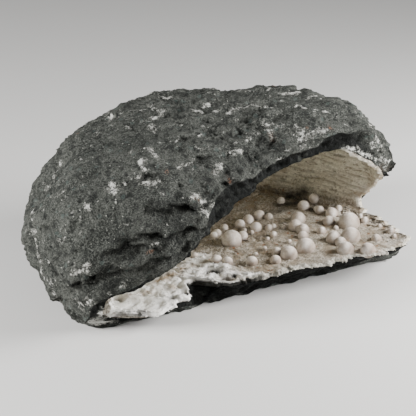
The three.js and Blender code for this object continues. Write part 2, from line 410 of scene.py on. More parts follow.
# %% Ledges
# Bearing, rise, half length, tilt and height of each ledge: it overhangs what is below it.
LEDGES = [
    (-127, 14.5, 12, 3, 4.2), (-131, 7, 19, 1, 4.6), (-140, 4, 12, 12, 3.4),
    (-134, -1, 15, 14, 2.6), (-146, -4, 10, 24, 3.0), (-152, -8, 8, 30, 3.0),
    (-117, 20, 9, 22, 2.2), (-141, 22, 9, 26, 1.8), (-158, 20, 9, 40, 1.6), (-135, 42, 9, 25, 1.5),
    (-100, 50, 12, 10, 1.4), (-76, 42, 9, -16, 1.3), (-163, 5, 9, 38, 2.0), (-48, 50, 9, -20, 1.6),
    (-60, 60, 11, -12, 1.4), (-120, 33, 8, 24, 1.8), (175, 10, 12, -20, 1.8),
    (150, 15, 12, 15, 2.0), (120, 10, 14, -10, 2.4), (95, 25, 12, 12, 1.8), (65, 5, 12, -15, 2.0),
    (40, 20, 12, 10, 1.7), (20, 30, 10, -12, 1.5), (80, 50, 12, 20, 1.4),
]
LEDGE_RUN_UP = 8.0
LEDGE_DROP = 3.4
LEDGE_EDGE = 0.6
LEDGE_WAVES = (1.4, 0.35), (0.7, 0.9)
UNDERCUT_DEPTH = 0.9
# A ledge this many millimetres tall gets full painted shade in the recess below it.
DEEP_LEDGE = 3


def ledges(points):
    """The height that the ledges add, and how much painted shade falls on a point in the recess below
    one.
    """
    height = np.zeros(points.shape[:-1])
    undercut_shade = np.zeros(points.shape[:-1])
    (long_wave, long_rate), (short_wave, short_rate) = LEDGE_WAVES
    for bearing, rise, length, tilt, tall in LEDGES:
        along, up = local(points, bearing, rise, tilt)
        up = up + long_wave * np.sin(along * long_rate + bearing)
        up = up + short_wave * np.sin(along * short_rate + rise)
        above = np.exp(-np.maximum(up, 0) / LEDGE_RUN_UP)
        below = np.exp(-np.maximum(-up, 0) / LEDGE_DROP)
        side = ramp(up, -LEDGE_EDGE, LEDGE_EDGE)
        reach = np.exp(-(along / length) ** 4)
        height += tall * reach * (above * side - UNDERCUT_DEPTH * below * (1 - side))
        undercut_shade = np.maximum(undercut_shade, tall / DEEP_LEDGE * reach * below * (1 - side))
    return height, np.clip(undercut_shade, 0, 1)


print("ledges:", len(LEDGES))

# %% Relief of the outside
# Height, kind of noise, size, and the rest of what that noise takes.
SKIN_RELIEF = [(1.2, fractal, 17, 3, 3.1), (3.0, chipped, 13, 7.7, 6.0),
               (1.4, chipped, 6, 2.3, 6.0), (0.35, fractal, 3.4, 3, 1.9)]
DRAWN_OUT_RELIEF = [(1.2, ridges, 10, 4, 6.6), (0.9, chipped, 2.6, 5.1)]
RIDGE_RUN = unit(np.array([0.6, -0.3, 0.6]))
RIDGE_STRETCH = 0.75
PIT_COUNT = 90
PIT_SIZE = (0.9, 2.0)
PIT_DEPTH = 0.6
NOTCH_DEPTH = 1.5
NOTCH = (-34, 29, 6.0, 4.0, 60)


def pits(points):
    """Small hollows, shallow for their width, strewn over the outside."""
    random = np.random.default_rng(11)
    height = np.zeros(points.shape[:-1])
    for _ in range(PIT_COUNT):
        bearing, rise = random.uniform(-180, 180), random.uniform(-35, 85)
        wide = random.uniform(*PIT_SIZE)
        height -= PIT_DEPTH * wide * patch(points, bearing, rise, wide * random.uniform(1, 1.8),
                                           wide, random.uniform(0, 180))
    return height


def stone_relief(points):
    """How high the relief stands at each point, and how much painted shade it gets below the ledges."""
    relief, undercut_shade = ledges(points)
    drawn_out = points - RIDGE_STRETCH * (points @ RIDGE_RUN)[..., None] * RIDGE_RUN
    relief += layered(points, SKIN_RELIEF) + layered(drawn_out, DRAWN_OUT_RELIEF)
    relief += pits(points) - NOTCH_DEPTH * patch(points, *NOTCH)
    return relief, undercut_shade


print("noises on the outside:", len(SKIN_RELIEF + DRAWN_OUT_RELIEF))

# %% [markdown]
# ## Meshes
#
# A skin is built from rows of points, each row once round the opening, and closed by a
# single point at either end. Doing this with arrays is quick, and it leaves one closed
# mesh with even faces and no stray ones. Values that colour the surface later, such as
# how fresh the break is, are worked out at the same points and kept as attributes.

# %% Mesh helpers
def skin_faces(row_count, spokes):
    """Quads between the rows of a closed skin, and triangles round its first and last point."""
    s = np.arange(spokes)
    t = (s + 1) % spokes
    start = 1 + np.arange(row_count - 1)[:, None] * spokes
    quads = np.stack([start + s, start + t, start + spokes + t, start + spokes + s], -1)
    last = 1 + row_count * spokes
    first_cap = np.stack([np.zeros_like(s), 1 + t, 1 + s], -1)
    last_row = last - spokes
    last_cap = np.stack([last_row + s, last_row + t, np.full_like(s, last)], -1)
    return first_cap.tolist() + quads.reshape(-1, 4).tolist() + last_cap.tolist()


def build(name, points, faces, smooth=True, **values):
    """Makes a piece from points in millimetres, with one attribute for each named value."""
    mesh = bpy.data.meshes.new(name)
    mesh.from_pydata((np.asarray(points) * MM).tolist(), [], faces)
    for key, value in values.items():
        mesh.attributes.new(key, "FLOAT", "POINT").data.foreach_set(
            "value", np.asarray(value, np.float32))
    mesh.polygons.foreach_set("use_smooth", [smooth] * len(mesh.polygons))
    mesh.update()
    piece = bpy.data.objects.new(name, mesh)
    bpy.context.scene.collection.objects.link(piece)
    return piece


def settle(piece, slot, material, *replaced):
    """Puts the piece on the specimen's one body and gives it its finish."""
    piece.data.materials.append(material)
    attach(piece, "root")
    if replaced:
        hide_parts(*replaced)
    print(piece.name, "has", len(piece.data.polygons), "faces")


def whole(first, rows, last):
    """All the points of a closed skin, in the order that skin_faces counts them."""
    return np.concatenate([first[None], rows.reshape(-1, rows.shape[-1]), last[None]])


print("helpers ready")

# %% [markdown]
# ## Shared effects for the finishes
#
# Basalt, crust and okenite are all grainy, only at different sizes and strengths. One node
# group holds that grain, and a second one scatters specks. Each material places them with
# its own values, which keeps the materials short and alike in kind.

# %% Node helpers
def add(tree, kind, inputs=None, **settings):
    """A shader node with its settings and inputs, each a value or what another node gives."""
    made = tree.nodes.new("ShaderNode" + kind)
    for key, value in settings.items():
        setattr(made, key, value)
    for key, value in (inputs or {}).items():
        if isinstance(value, bpy.types.NodeSocket):
            tree.links.new(value, made.inputs[key])
        else:
            made.inputs[key].default_value = value
    return made


def math_node(tree, operation, a, b=0.0, c=0.0):
    return add(tree, "Math", {0: a, 1: b, 2: c}, operation=operation).outputs[0]


def times(tree, a, b):
    return math_node(tree, "MULTIPLY", a, b)


def times_plus(tree, a, b, c):
    return math_node(tree, "MULTIPLY_ADD", a, b, c)


def spread_node(tree, value, low, high, to_low=0.0, to_high=1.0):
    """Like ramp: a smooth rise from to_low, at low, up to to_high, at high."""
    made = add(tree, "MapRange", {"Value": value, "From Min": low, "From Max": high,
                                  "To Min": to_low, "To Max": to_high},
               interpolation_type="SMOOTHSTEP")
    return made.outputs["Result"]


def mix_node(tree, share, a, b):
    """Colour a where share is 0 and colour b where it is 1."""
    # Of a Mix node's sockets, the inputs 6 and 7 and the output 2 are the ones for colours.
    a, b = ((*tone, 1) if isinstance(tone, tuple) else tone for tone in (a, b))
    return add(tree, "Mix", {"Factor": share, 6: a, 7: b}, data_type="RGBA").outputs[2]


def attribute_node(tree, name):
    return add(tree, "Attribute", attribute_name=name).outputs["Fac"]


def new_group(name, inputs, outputs):
    group = bpy.data.node_groups.new(name, "ShaderNodeTree")
    for label, value in inputs.items():
        socket = group.interface.new_socket(label, in_out="INPUT", socket_type="NodeSocketFloat")
        socket.default_value = value
    for label in outputs:
        group.interface.new_socket(label, in_out="OUTPUT", socket_type="NodeSocketFloat")
    return group, group.nodes.new("NodeGroupInput"), group.nodes.new("NodeGroupOutput")


def place_group(tree, group, **values):
    made = tree.nodes.new("ShaderNodeGroup")
    made.node_tree = group
    for label, value in values.items():
        made.inputs[label.replace("_", " ").capitalize()].default_value = value
    return made.outputs


print("node helpers ready")

# %% Grain
grain_group, given, out = new_group(
    "mineral grain", {"Coarse": 90.0, "Fine": 800.0, "Roughness": 0.6}, ["Cloud", "Grain", "Height"])
place = add(grain_group, "TexCoord").outputs["Object"]
cloud = add(grain_group, "TexNoise", {"Vector": place, "Scale": given.outputs["Coarse"], "Detail": 5.0,
                                      "Roughness": given.outputs["Roughness"]}).outputs[0]
fine = add(grain_group, "TexNoise", {"Vector": place, "Scale": given.outputs["Fine"], "Detail": 4.0,
                                     "Roughness": 0.65}).outputs[0]
grain_group.links.new(cloud, out.inputs["Cloud"])
grain_group.links.new(fine, out.inputs["Grain"])
grain_group.links.new(times_plus(grain_group, cloud, 0.5, fine), out.inputs["Height"])
print("the grain group gives", [socket.name for socket in out.inputs if socket.name])

# %% Specks
SPECK_WANDER = 0.003
speck_group, given, out = new_group(
    "scattered specks", {"Scale": 900.0, "Share": 0.06, "Size": 0.4}, ["Mask"])
place = add(speck_group, "TexCoord").outputs["Object"]
wander = add(speck_group, "TexNoise", {"Vector": place, "Scale": 260.0, "Detail": 2.0}).outputs["Color"]
shaken = add(speck_group, "VectorMath", {0: wander, 3: SPECK_WANDER}, operation="SCALE").outputs[0]
moved = add(speck_group, "VectorMath", {0: place, 1: shaken}, operation="ADD").outputs[0]
cell = add(speck_group, "TexVoronoi", {"Vector": moved, "Scale": given.outputs["Scale"]})
tone = add(speck_group, "SeparateColor", {"Color": cell.outputs["Color"]}).outputs[0]
chosen = math_node(speck_group, "LESS_THAN", tone, given.outputs["Share"])
near = math_node(speck_group, "LESS_THAN", cell.outputs["Distance"], given.outputs["Size"])
speck_group.links.new(times(speck_group, chosen, near), out.inputs["Mask"])
print("groups:", [g.name for g in bpy.data.node_groups])

# %% [markdown]
# ## Basalt
#
# Weathered basalt is a dull grey-green, clouded at the size of a finger and grainy at the
# size of a pinhead, with white specks, black pores and a few rusty spots. White crust of
# the same kind as inside the vug sticks to it in patches. The fresh break is much darker
# than the weathered skin, and its dark tone is also painted as shade below the ledges and
# over the low front. All of that could be painted; here noises choose the colour and
# three attributes say where crust, rust and fresh break with painted shade lie, so it works from all
# sides.

# %% Basalt: the weathered skin
def new_material(name):
    material = bpy.data.materials.new(name)
    material.use_nodes = True
    tree = material.node_tree
    shader = next(n for n in tree.nodes if n.type == "BSDF_PRINCIPLED")
    return material, tree, shader


def specked(tree, colour, scale, share, size, strength, tone):
    """The colour with specks of a tone strewn over it."""
    mask = place_group(tree, speck_group, scale=scale, share=share, size=size)["Mask"]
    return mix_node(tree, times(tree, mask, strength), colour, tone)


basalt, tree, shader = new_material("weathered basalt")
cloud, grain, height = place_group(tree, grain_group, coarse=60.0, fine=520.0)[:3]
streak, crumb, crumb_height = place_group(tree, grain_group, coarse=210.0, fine=1250.0)[:3]
# The noise that chooses each tone, where it starts and is full, its strength and its colour.
SKIN_TONES = [(crumb, 0.5, 0.64, 0.85, (0.14, 0.144, 0.13)),
              (grain, 0.53, 0.68, 0.7, (0.125, 0.128, 0.115)),
              (crumb, 0.48, 0.37, 0.85, (0.014, 0.015, 0.014)),
              (streak, 0.47, 0.37, 0.7, (0.015, 0.016, 0.015)),
              (grain, 0.42, 0.34, 0.8, (0.01, 0.011, 0.01))]
colour = mix_node(tree, spread_node(tree, cloud, 0.3, 0.7), (0.034, 0.0365, 0.032),
                  (0.08, 0.083, 0.073))
for chooser, start, full, strength, tone in SKIN_TONES:
    colour = mix_node(tree, spread_node(tree, chooser, start, full, 0.0, strength), colour, tone)
colour = specked(tree, colour, 760.0, 0.03, 0.3, 0.7, (0.42, 0.42, 0.38))
colour = specked(tree, colour, 300.0, 0.1, 0.4, 0.3, (0.09, 0.12, 0.11))
print("tones of the weathered skin:", len(SKIN_TONES) + 4)

# %% Basalt: fresh break and painted shade, rust and white crust
fresh = attribute_node(tree, "fresh")
fresh_colour = mix_node(tree, spread_node(tree, crumb, 0.4, 0.65), (0.0015, 0.0017, 0.0015),
                        (0.008, 0.0088, 0.0076))
edges = spread_node(tree, streak, 0.56, 0.7, 0.0, 0.6)
fresh_colour = mix_node(tree, edges, fresh_colour, (0.05, 0.052, 0.046))
# The dark tone of the fresh break, also used as painted shade below the ledges and over the low front.
colour = mix_node(tree, fresh, colour, fresh_colour)
stain = times(tree, attribute_node(tree, "rust"), spread_node(tree, crumb, 0.46, 0.62))
colour = mix_node(tree, stain, colour, (0.3, 0.11, 0.045))
laid = attribute_node(tree, "coat")
ragged = 0.0
for chooser, weight in ((streak, 1.8), (grain, 2.4), (crumb, 1.6)):
    ragged = times_plus(tree, math_node(tree, "SUBTRACT", chooser, 0.5), weight, ragged)
ragged = times_plus(tree, spread_node(tree, laid, 0.0, 0.35), ragged, laid)
dusty = times(tree, spread_node(tree, ragged, 0.32, 0.62), 0.6)
colour = mix_node(tree, dusty, colour, (0.2, 0.2, 0.18))
coat = spread_node(tree, ragged, 0.6, 0.98)
colour = mix_node(tree, coat, colour, (0.62, 0.615, 0.57))
tree.links.new(colour, shader.inputs["Base Color"])
print("basalt nodes for colour:", len(tree.nodes))

# %% Basalt: gloss and grain
dull = spread_node(tree, grain, 0.3, 0.7, 0.66, 0.9)
tree.links.new(times_plus(tree, fresh, -0.1, dull), shader.inputs["Roughness"])
shader.inputs["Specular IOR Level"].default_value = 0.075
rough = times_plus(tree, crumb_height, 0.6, height)
rough = times_plus(tree, coat, 0.3, rough)
rough = times(tree, rough, times_plus(tree, fresh, -0.4, 1.0))
bump = add(tree, "Bump", {"Strength": 1.0, "Distance": 0.002, "Height": rough})
tree.links.new(bump.outputs[0], shader.inputs["Normal"])
print("basalt nodes:", len(tree.nodes))

# %% Where white crust lies
# White crust that the camera sees: from x, y to x, y in the view, its width there, strength.
CRUST_STROKES = [
    (130, 111, 141, 110, 1.6, 0.7), (141, 110, 152, 105, 1.6, 0.7), (163, 98, 171, 97, 3, 0.9),
    (155, 119, 166, 110, 2.6, 0.9), (152, 127, 155, 130, 4, 0.8), (194, 111, 217, 111, 3, 0.9),
    (201, 107, 209, 104, 2.4, 0.9), (229, 113, 238, 108, 4, 0.95), (238, 108, 252, 106, 5, 0.95),
    (252, 106, 270, 108, 3.4, 0.85), (195, 147, 198, 147, 1.8, 0.8),
    (229, 153, 241, 150, 2.6, 0.85), (245, 141, 259, 134, 2, 0.7), (150, 150, 156, 157, 3.4, 0.85),
    (145, 149, 151, 148, 2, 0.8), (141, 161, 143, 169, 3, 0.85), (179, 167, 190, 165, 2.6, 0.8),
    (216, 172, 222, 165, 3.6, 0.85), (198, 136, 201, 135, 1.6, 0.8), (241, 129, 241, 129, 1.6, 0.9),
    (112, 184, 116, 190, 4.4, 0.95), (116, 189, 126, 184, 1.8, 0.75), (84, 205, 91, 208, 2, 0.9),
    (145, 181, 157, 182, 4.6, 0.8), (150, 186, 154, 185, 3, 0.7), (129, 175, 136, 177, 2, 0.8),
    (56, 173, 54, 179, 2, 0.85), (50, 186, 46, 191, 2.6, 0.8), (31, 211, 31, 211, 4, 0.9),
    (32, 219, 32, 219, 4, 0.9), (34, 230, 37, 248, 3, 0.85), (37, 253, 41, 262, 2.6, 0.7),
    (41, 270, 43, 277, 3, 0.85), (51, 281, 59, 304, 3, 0.9), (46, 242, 49, 264, 1.6, 0.8),
    (72, 274, 88, 265, 3, 0.85), (192, 197, 196, 194, 3, 0.9), (199, 202, 212, 205, 3, 0.62),
    (201, 212, 209, 216, 4, 0.6), (78, 302, 91, 300, 4, 0.7), (71, 213, 71, 213, 2, 0.95),
    (183, 197, 183, 197, 1.8, 0.95), (89, 271, 110, 294, 1.4, 0.5), (264, 127, 280, 124, 2.4, 0.8),
    (268, 130, 272, 140, 2, 0.6), (288, 136, 302, 134, 6, 0.7), (300, 139, 303, 148, 3, 0.7),
    (314, 132, 322, 131, 4, 0.85), (268, 164, 283, 159, 3, 0.75), (264, 89, 271, 88, 2.4, 0.85),
    (283, 94, 297, 92, 3, 0.85), (297, 107, 306, 108, 2.4, 0.75), (315, 110, 328, 112, 2.8, 0.85),
    (321, 99, 346, 106, 1.6, 0.7), (346, 106, 362, 122, 1.8, 0.7), (370, 127, 379, 140, 2.2, 0.95),
    (379, 141, 373, 149, 2.2, 0.9), (376, 158, 388, 160, 4, 0.8), (380, 146, 384, 152, 2, 0.7),
    (362, 112, 370, 124, 1.6, 0.7), (305, 99, 316, 96, 2, 0.8), (105, 124, 123, 112, 1.6, 0.7),
    (83, 149, 97, 133, 1.6, 0.6), (118, 228, 131, 222, 1.6, 0.5), (152, 243, 158, 243, 2, 0.7),
    (199, 265, 207, 262, 2.4, 0.6), (60, 242, 66, 231, 1.4, 0.5),
]
# Crust on the sides that the camera doesn't see: bearing, rise, half length, half width,
# tilt and strength.
WHITE_PATCHES = [
    (20, 50, 9, 2.2, 20, 0.8), (70, 40, 7, 2, -20, 0.8), (110, 20, 6, 2.6, 30, 0.8),
    (140, 35, 9, 1.8, 15, 0.8), (165, 40, 6, 2, -30, 0.8), (60, 8, 7, 2, 25, 0.75),
    (95, 60, 8, 1.8, -15, 0.8), (30, 8, 6, 2.2, 10, 0.75), (125, -10, 10, 2.2, 5, 0.7),
    (85, 15, 4, 3, 0, 0.8), (45, 28, 12, 1.2, 35, 0.7), (155, 0, 9, 1.4, -25, 0.7),
    (10, 15, 4, 3, 0, 0.7), (75, -15, 8, 2, 12, 0.7), (115, 48, 5, 2.6, 50, 0.8),
]
print("white strokes:", len(CRUST_STROKES), "and patches:", len(WHITE_PATCHES))

# %% Where the stone is dark, painted in shade, brown or rusty
# Places on the outside painted dark: some where the stone has scaled off and shows its dark inside,
# some as painted shade below the ledges, over the low front and in a pit.
SCALED_OFF_AND_SHADE = [
    (256, 144, 272, 150, 11, 0.75), (250, 152, 262, 154, 6, 0.5), (160, 208, 194, 206, 7, 0.85),
    (124, 236, 160, 232, 8, 0.75), (165, 229, 198, 227, 9, 0.8), (100, 272, 186, 248, 26, 0.42),
    (110, 290, 180, 266, 14, 0.65), (78, 284, 100, 276, 14, 0.6), (144, 152, 148, 156, 4, 0.5),
    (350, 116, 354, 121, 4, 0.9), (215, 182, 255, 162, 18, 0.5), (190, 215, 214, 190, 14, 0.5),
    (52, 268, 56, 274, 4, 0.8), (300, 146, 318, 140, 8, 0.5), (118, 228, 196, 214, 14, 0.45),
    (84, 300, 108, 296, 10, 0.6), (95, 190, 110, 186, 8, 0.3), (140, 140, 148, 148, 6, 0.3),
    (130, 104, 150, 120, 12, 0.2), (60, 250, 80, 262, 12, 0.3), (230, 130, 290, 126, 12, 0.2),
]
# Crust that runs out over the broken face, and places there that have weathered again.
WHITE_ON_BREAK = [
    (93, 322, 110, 313, 8, 1.4), (104, 314, 112, 302, 6, 1.4), (196, 281, 202, 279, 3, 0.5),
    (176, 300, 183, 296, 2.4, 0.6), (343, 148, 356, 150, 3, 0.8), (356, 151, 372, 158, 3.4, 0.85),
    (372, 144, 378, 150, 3, 0.7), (376, 159, 388, 161, 4, 0.85), (384, 166, 386, 172, 3, 0.7),
]
WEATHERED_BREAK = [
    (368, 132, 382, 150, 9, 0.9), (356, 130, 366, 128, 4, 0.5), (376, 166, 384, 170, 8, 1.0),
    (380, 150, 386, 164, 9, 0.9),
]
BROWN_ON_BREAK = [(381, 168, 384, 170, 5, 0.3)]
RUST_STROKES = [
    (228, 180, 229, 182, 1.4, 0.5), (167, 171, 168, 171, 1.4, 0.8), (194, 198, 199, 201, 1.6, 0.7),
    (271, 133, 272, 140, 2.0, 0.6), (329, 127, 331, 128, 1.6, 0.8), (150, 252, 152, 252, 1.4, 0.6),
    (213, 170, 214, 171, 1.4, 0.6), (306, 127, 307, 128, 1.4, 0.6),
]
# Bearing, rise, half length and half width.
RUST_SPOTS = [(80, 25, 2.5, 1.2), (130, 20, 2, 1), (20, 38, 2, 1.2), (160, 25, 2, 1)]
print("places scaled off:", len(SCALED_OFF_AND_SHADE), "and rusty:", len(RUST_STROKES + RUST_SPOTS))

# %% Crust and rust over the whole stone
STROKE_SHARE = 0.95
CRUMB_SHARE = 0.45
THINNEST_COAT = 0.1
DUSTING_SHARE = 0.16


def white_coat(points):
    """How much white crust lies on the weathered stone at each point."""
    coat = STROKE_SHARE * strokes_in_view(points, CRUST_STROKES)
    for bearing, rise, length, width, tilt, strength in WHITE_PATCHES:
        coat = np.maximum(coat, strength * patch(points, bearing, rise, length, width, tilt))
    crumbs = ramp(fractal(points, 7, 4, 5.5), 0.42, 0.9)
    dusting = ramp(fractal(points, 22, 4, 3.3), 0.1, 0.8)
    return np.maximum(coat, CRUMB_SHARE * crumbs) + THINNEST_COAT + DUSTING_SHARE * dusting


def rusty(points):
    """How rusty the stone is at each point."""
    rust = strokes_in_view(points, RUST_STROKES)
    for bearing, rise, length, width in RUST_SPOTS:
        rust = np.maximum(rust, patch(points, bearing, rise, length, width))
    return rust


print("white under the opening's middle:", white_coat(surface(STONE, axis[None])).round(2))

# %% [markdown]
# ## The basalt shell
#
# On the real specimen this is one rock: a dome, a back wall and a floor slab. It is one
# closed skin here as well, fine on the outside and on the broken face, and coarser where
# the crust hides it. The two edges are made ragged before the rows are laid, because a
# smooth edge is the first thing that makes a broken stone look moulded.

# %% Edges of the broken face
SPOKES = 500
EDGE_AWAY = 80.0


def ragged_edge(edge, amount, size, seed):
    """The edge shaken across its own run, by an amount and at a size in millimetres."""
    at = edge * EDGE_AWAY
    shift = np.stack([fractal(at, size, 4, seed + k) for k in (0.0, 11.3, 23.9)], -1)
    along = unit(np.roll(edge, -3, axis=0) - np.roll(edge, 3, axis=0))
    shift = shift - along * (shift * along).sum(-1, keepdims=True)
    return unit(edge + shift * amount / EDGE_AWAY)


spoke_angle = spoke_angles(SPOKES)
outer_edge = ragged_edge(edge_directions(OUTER_EDGE, spoke_angle), 1.5, 7, 0.4)
inner_edge = ragged_edge(edge_directions(INNER_EDGE, spoke_angle), 0.9, 4, 2.8)
print("spokes:", SPOKES)

# %% Outside, broken face and wall
STONE_RINGS = 160
BREAK_RINGS = 16
WALL_RINGS = 22
BREAK_RELIEF = [(1.2, fractal, 8, 4, 9.2), (-1.8, beads, 14, 4.4), (0.4, fractal, 2.6, 3, 6.1),
                (3.4, chipped, 8, 1.1, 8.0), (2.0, chipped, 3.6, 6.6)]

stone_rows = swing(outer_edge, np.arange(1, STONE_RINGS + 1) / STONE_RINGS)
relief, undercut_shade = stone_relief(surface(STONE, stone_rows))
weathered = surface(STONE, stone_rows, relief)

behind_crust = CRUST_THICKNESS + SEAM
wall_shares = np.arange(WALL_RINGS, 0, -1) / WALL_RINGS
wall = surface(HOLLOW, swing(inner_edge, wall_shares), behind_crust)


def strip(first, last, rings):
    """Rows of points between two rows, and how far each of them lies on the way."""
    share = (np.arange(1, rings + 1) / (rings + 1))[:, None, None]
    return first * (1 - share) + last * share, share[..., 0]


face, share = strip(weathered[-1], wall[0], BREAK_RINGS)
chips = np.sin(np.pi * share) * layered(face, BREAK_RELIEF)
face = face + chips[..., None] * axis
print("the broken face is", BREAK_RINGS, "rows wide")

# %% Basalt shell
SCALED_OFF_AND_SHADE_SHARE = 0.8
UNDERCUT_SHADE = 0.85

rows = np.concatenate([weathered, face, wall])
points = grounded(
    whole(surface(STONE, back_pole), rows, surface(HOLLOW, back_pole, behind_crust)))
broken = np.concatenate([[0], np.repeat(np.arange(len(rows)) >= STONE_RINGS, SPOKES), [1]])
patchy = SCALED_OFF_AND_SHADE_SHARE * (1 + fractal(points, 6, 3, 2.5))
# Dark where the stone has scaled off, and painted shade below the ledges and over the low front.
scaled_off_and_shade = strokes_in_view(points, SCALED_OFF_AND_SHADE) * patchy
weathered_again = broken * strokes_in_view(points, WEATHERED_BREAK)
hidden = np.zeros(len(points) - undercut_shade.size - 1)
# Painted shade below the ledges: there the stone takes the dark tone of the fresh break.
undercut_shade = UNDERCUT_SHADE * np.concatenate([[0], undercut_shade.ravel(), hidden])
fresh = np.clip(np.maximum.reduce([broken - weathered_again, scaled_off_and_shade, undercut_shade]), 0, 1)
coat = white_coat(points) * (1 - broken + weathered_again)
coat = np.maximum(coat, broken * strokes_in_view(points, WHITE_ON_BREAK))
rust = np.maximum(rusty(points), broken * strokes_in_view(points, BROWN_ON_BREAK))
shell = build("basalt_rock", points, skin_faces(len(rows), SPOKES), fresh=fresh, coat=coat, rust=rust)
settle(shell, "basalt", basalt, "basalt_shell")

# %% [markdown]
# ## The crust of the hollow
#
# The lining is a druse: thousands of tiny crystals that together look like coarse sugar.
# Modelling each crystal of it would take millions of faces. So the crust is one fine skin
# with packed bumps, which are lower on the roof than on the floor, and single crystals are
# scattered on it, most of them where they catch the light.

# %% Crust finish: the tones of floor, roof and white mass
crust, tree, shader = new_material("sugary crust")
cloud, grain, height = place_group(tree, grain_group, coarse=130.0, fine=900.0)[:3]
pale_tone = mix_node(tree, spread_node(tree, grain, 0.38, 0.62), (0.2, 0.175, 0.138),
                     (0.66, 0.61, 0.525))
white_tone = mix_node(tree, spread_node(tree, grain, 0.3, 0.55), (0.72, 0.69, 0.64),
                      (0.93, 0.915, 0.88))
roof_tone = mix_node(tree, spread_node(tree, grain, 0.34, 0.66), (0.62, 0.6, 0.49),
                     (0.88, 0.855, 0.73))
place = add(tree, "TexCoord").outputs["Object"]
flattened = add(tree, "Mapping", {"Vector": place, "Scale": (1, 1, 4)}).outputs[0]
dashes = add(tree, "TexNoise", {"Vector": flattened, "Scale": 230.0, "Detail": 3.0,
                                "Roughness": 0.6}).outputs[0]
roof_tone = mix_node(tree, spread_node(tree, dashes, 0.46, 0.33, 0.0, 0.75), roof_tone,
                     (0.13, 0.122, 0.09))
# Painted shade in the grooves between the roof's ripples.
groove_shade = times(tree, attribute_node(tree, "groove_shade"), 0.75)
roof_tone = mix_node(tree, groove_shade, roof_tone, (0.28, 0.265, 0.2))
print("crust nodes for the tones:", len(tree.nodes))

# %% Crust finish: dust, stains and grain
colour = mix_node(tree, attribute_node(tree, "roof"), pale_tone, roof_tone)
brown = times(tree, attribute_node(tree, "dust"), spread_node(tree, cloud, 0.4, 0.62, 0.35, 0.95))
colour = mix_node(tree, brown, colour, (0.25, 0.195, 0.132))
colour = specked(tree, colour, 560.0, 0.2, 0.42, 0.5, (0.17, 0.155, 0.115))
colour = mix_node(tree, attribute_node(tree, "white"), colour, white_tone)
rusty_places = times(tree, spread_node(tree, cloud, 0.44, 0.56), attribute_node(tree, "stain"))
colour = specked(tree, colour, 520.0, 0.1, 0.4, rusty_places, (0.27, 0.125, 0.06))
umber = times(tree, attribute_node(tree, "umber"), spread_node(tree, cloud, 0.38, 0.62, 0.2, 1.0))
colour = mix_node(tree, umber, colour, (0.3, 0.22, 0.13))
# Painted shade, near-black, in the holes and the cave; at the low front the crust's rim and back take
# this tone as basalt.
colour = mix_node(tree, attribute_node(tree, "hole_and_shade"), colour, (0.025, 0.024, 0.02))
tree.links.new(colour, shader.inputs["Base Color"])
tree.links.new(spread_node(tree, grain, 0.3, 0.7, 0.6, 0.9), shader.inputs["Roughness"])
bump = add(tree, "Bump", {"Strength": 0.7, "Distance": 0.0006, "Height": height})
tree.links.new(bump.outputs[0], shader.inputs["Normal"])
shader.inputs["Specular IOR Level"].default_value = 0.3
print("crust nodes:", len(tree.nodes))

# %% [markdown]
# The crust doesn't end where the stone does. It hangs over the slab's edge and over the
# roof's right end, and along the lip and the low front it stays back behind the basalt. So
# its edge is the stone's inner edge made ragged, and moved along each spoke.

# %% The crust's edge
RIM_OVERHANG = 0.5
RIM_DRAWN_BACK = 2.4
LOW_FRONT_DRAWN_BACK = 3.6
EDGE_RAGGED = 0.8
FLOOR_EDGE_RAGGED = 1.6
LEFT_EDGE_RAGGED = 1.6
FLOOR_TOP, FLOOR_FOOT = direction(0, -12)[2], direction(0, -20)[2]

edge_x = surface(HOLLOW, inner_edge)[:, 0]
floor_share = ramp(inner_edge[:, 2], FLOOR_TOP, FLOOR_FOOT)
right_end = ramp(edge_x, 52, 64) * (1 - floor_share)
left_end = ramp(edge_x, -18, -34) * floor_share
low_front = floor_share * ramp(edge_x, -36, -28) * ramp(edge_x, 16, 4)
ragged = EDGE_RAGGED + FLOOR_EDGE_RAGGED * floor_share + LEFT_EDGE_RAGGED * left_end
crust_edge = ragged_edge(inner_edge, ragged[:, None], 4.5, 8.8)
forward = RIM_OVERHANG * (floor_share + right_end) - RIM_DRAWN_BACK * (1 - floor_share - right_end)
forward = forward - LOW_FRONT_DRAWN_BACK * low_front
away = np.arccos(np.clip(crust_edge @ back_pole, -1, 1))
crust_edge = spin(crust_edge, 1 + forward / EDGE_AWAY / away)
print("the crust's edge is moved by", forward.min().round(1), "to", forward.max().round(1), "mm")

# %% How white the edge is
WHITE_RIGHT_END = 0.9
WHITE_LIP = 0.2
WHITE_SLAB = 0.15
FROSTING_GAPS = 0.85

roof_white = WHITE_RIGHT_END * right_end + WHITE_LIP * ramp(edge_x, -5, -25)
floor_white = WHITE_SLAB + (1 - WHITE_SLAB) * ramp(edge_x, 8, -14)
rim_white = roof_white * (1 - floor_share) + floor_white * floor_share


def frosted(points):
    """Less white in patches along the roof's right end, where the frosting is broken up."""
    return 1 - FROSTING_GAPS * right_end * ramp(fractal(points, 4, 3, 6.2), 0.25, 0.0)


print("the rim is white by", rim_white.mean().round(2), "on average")

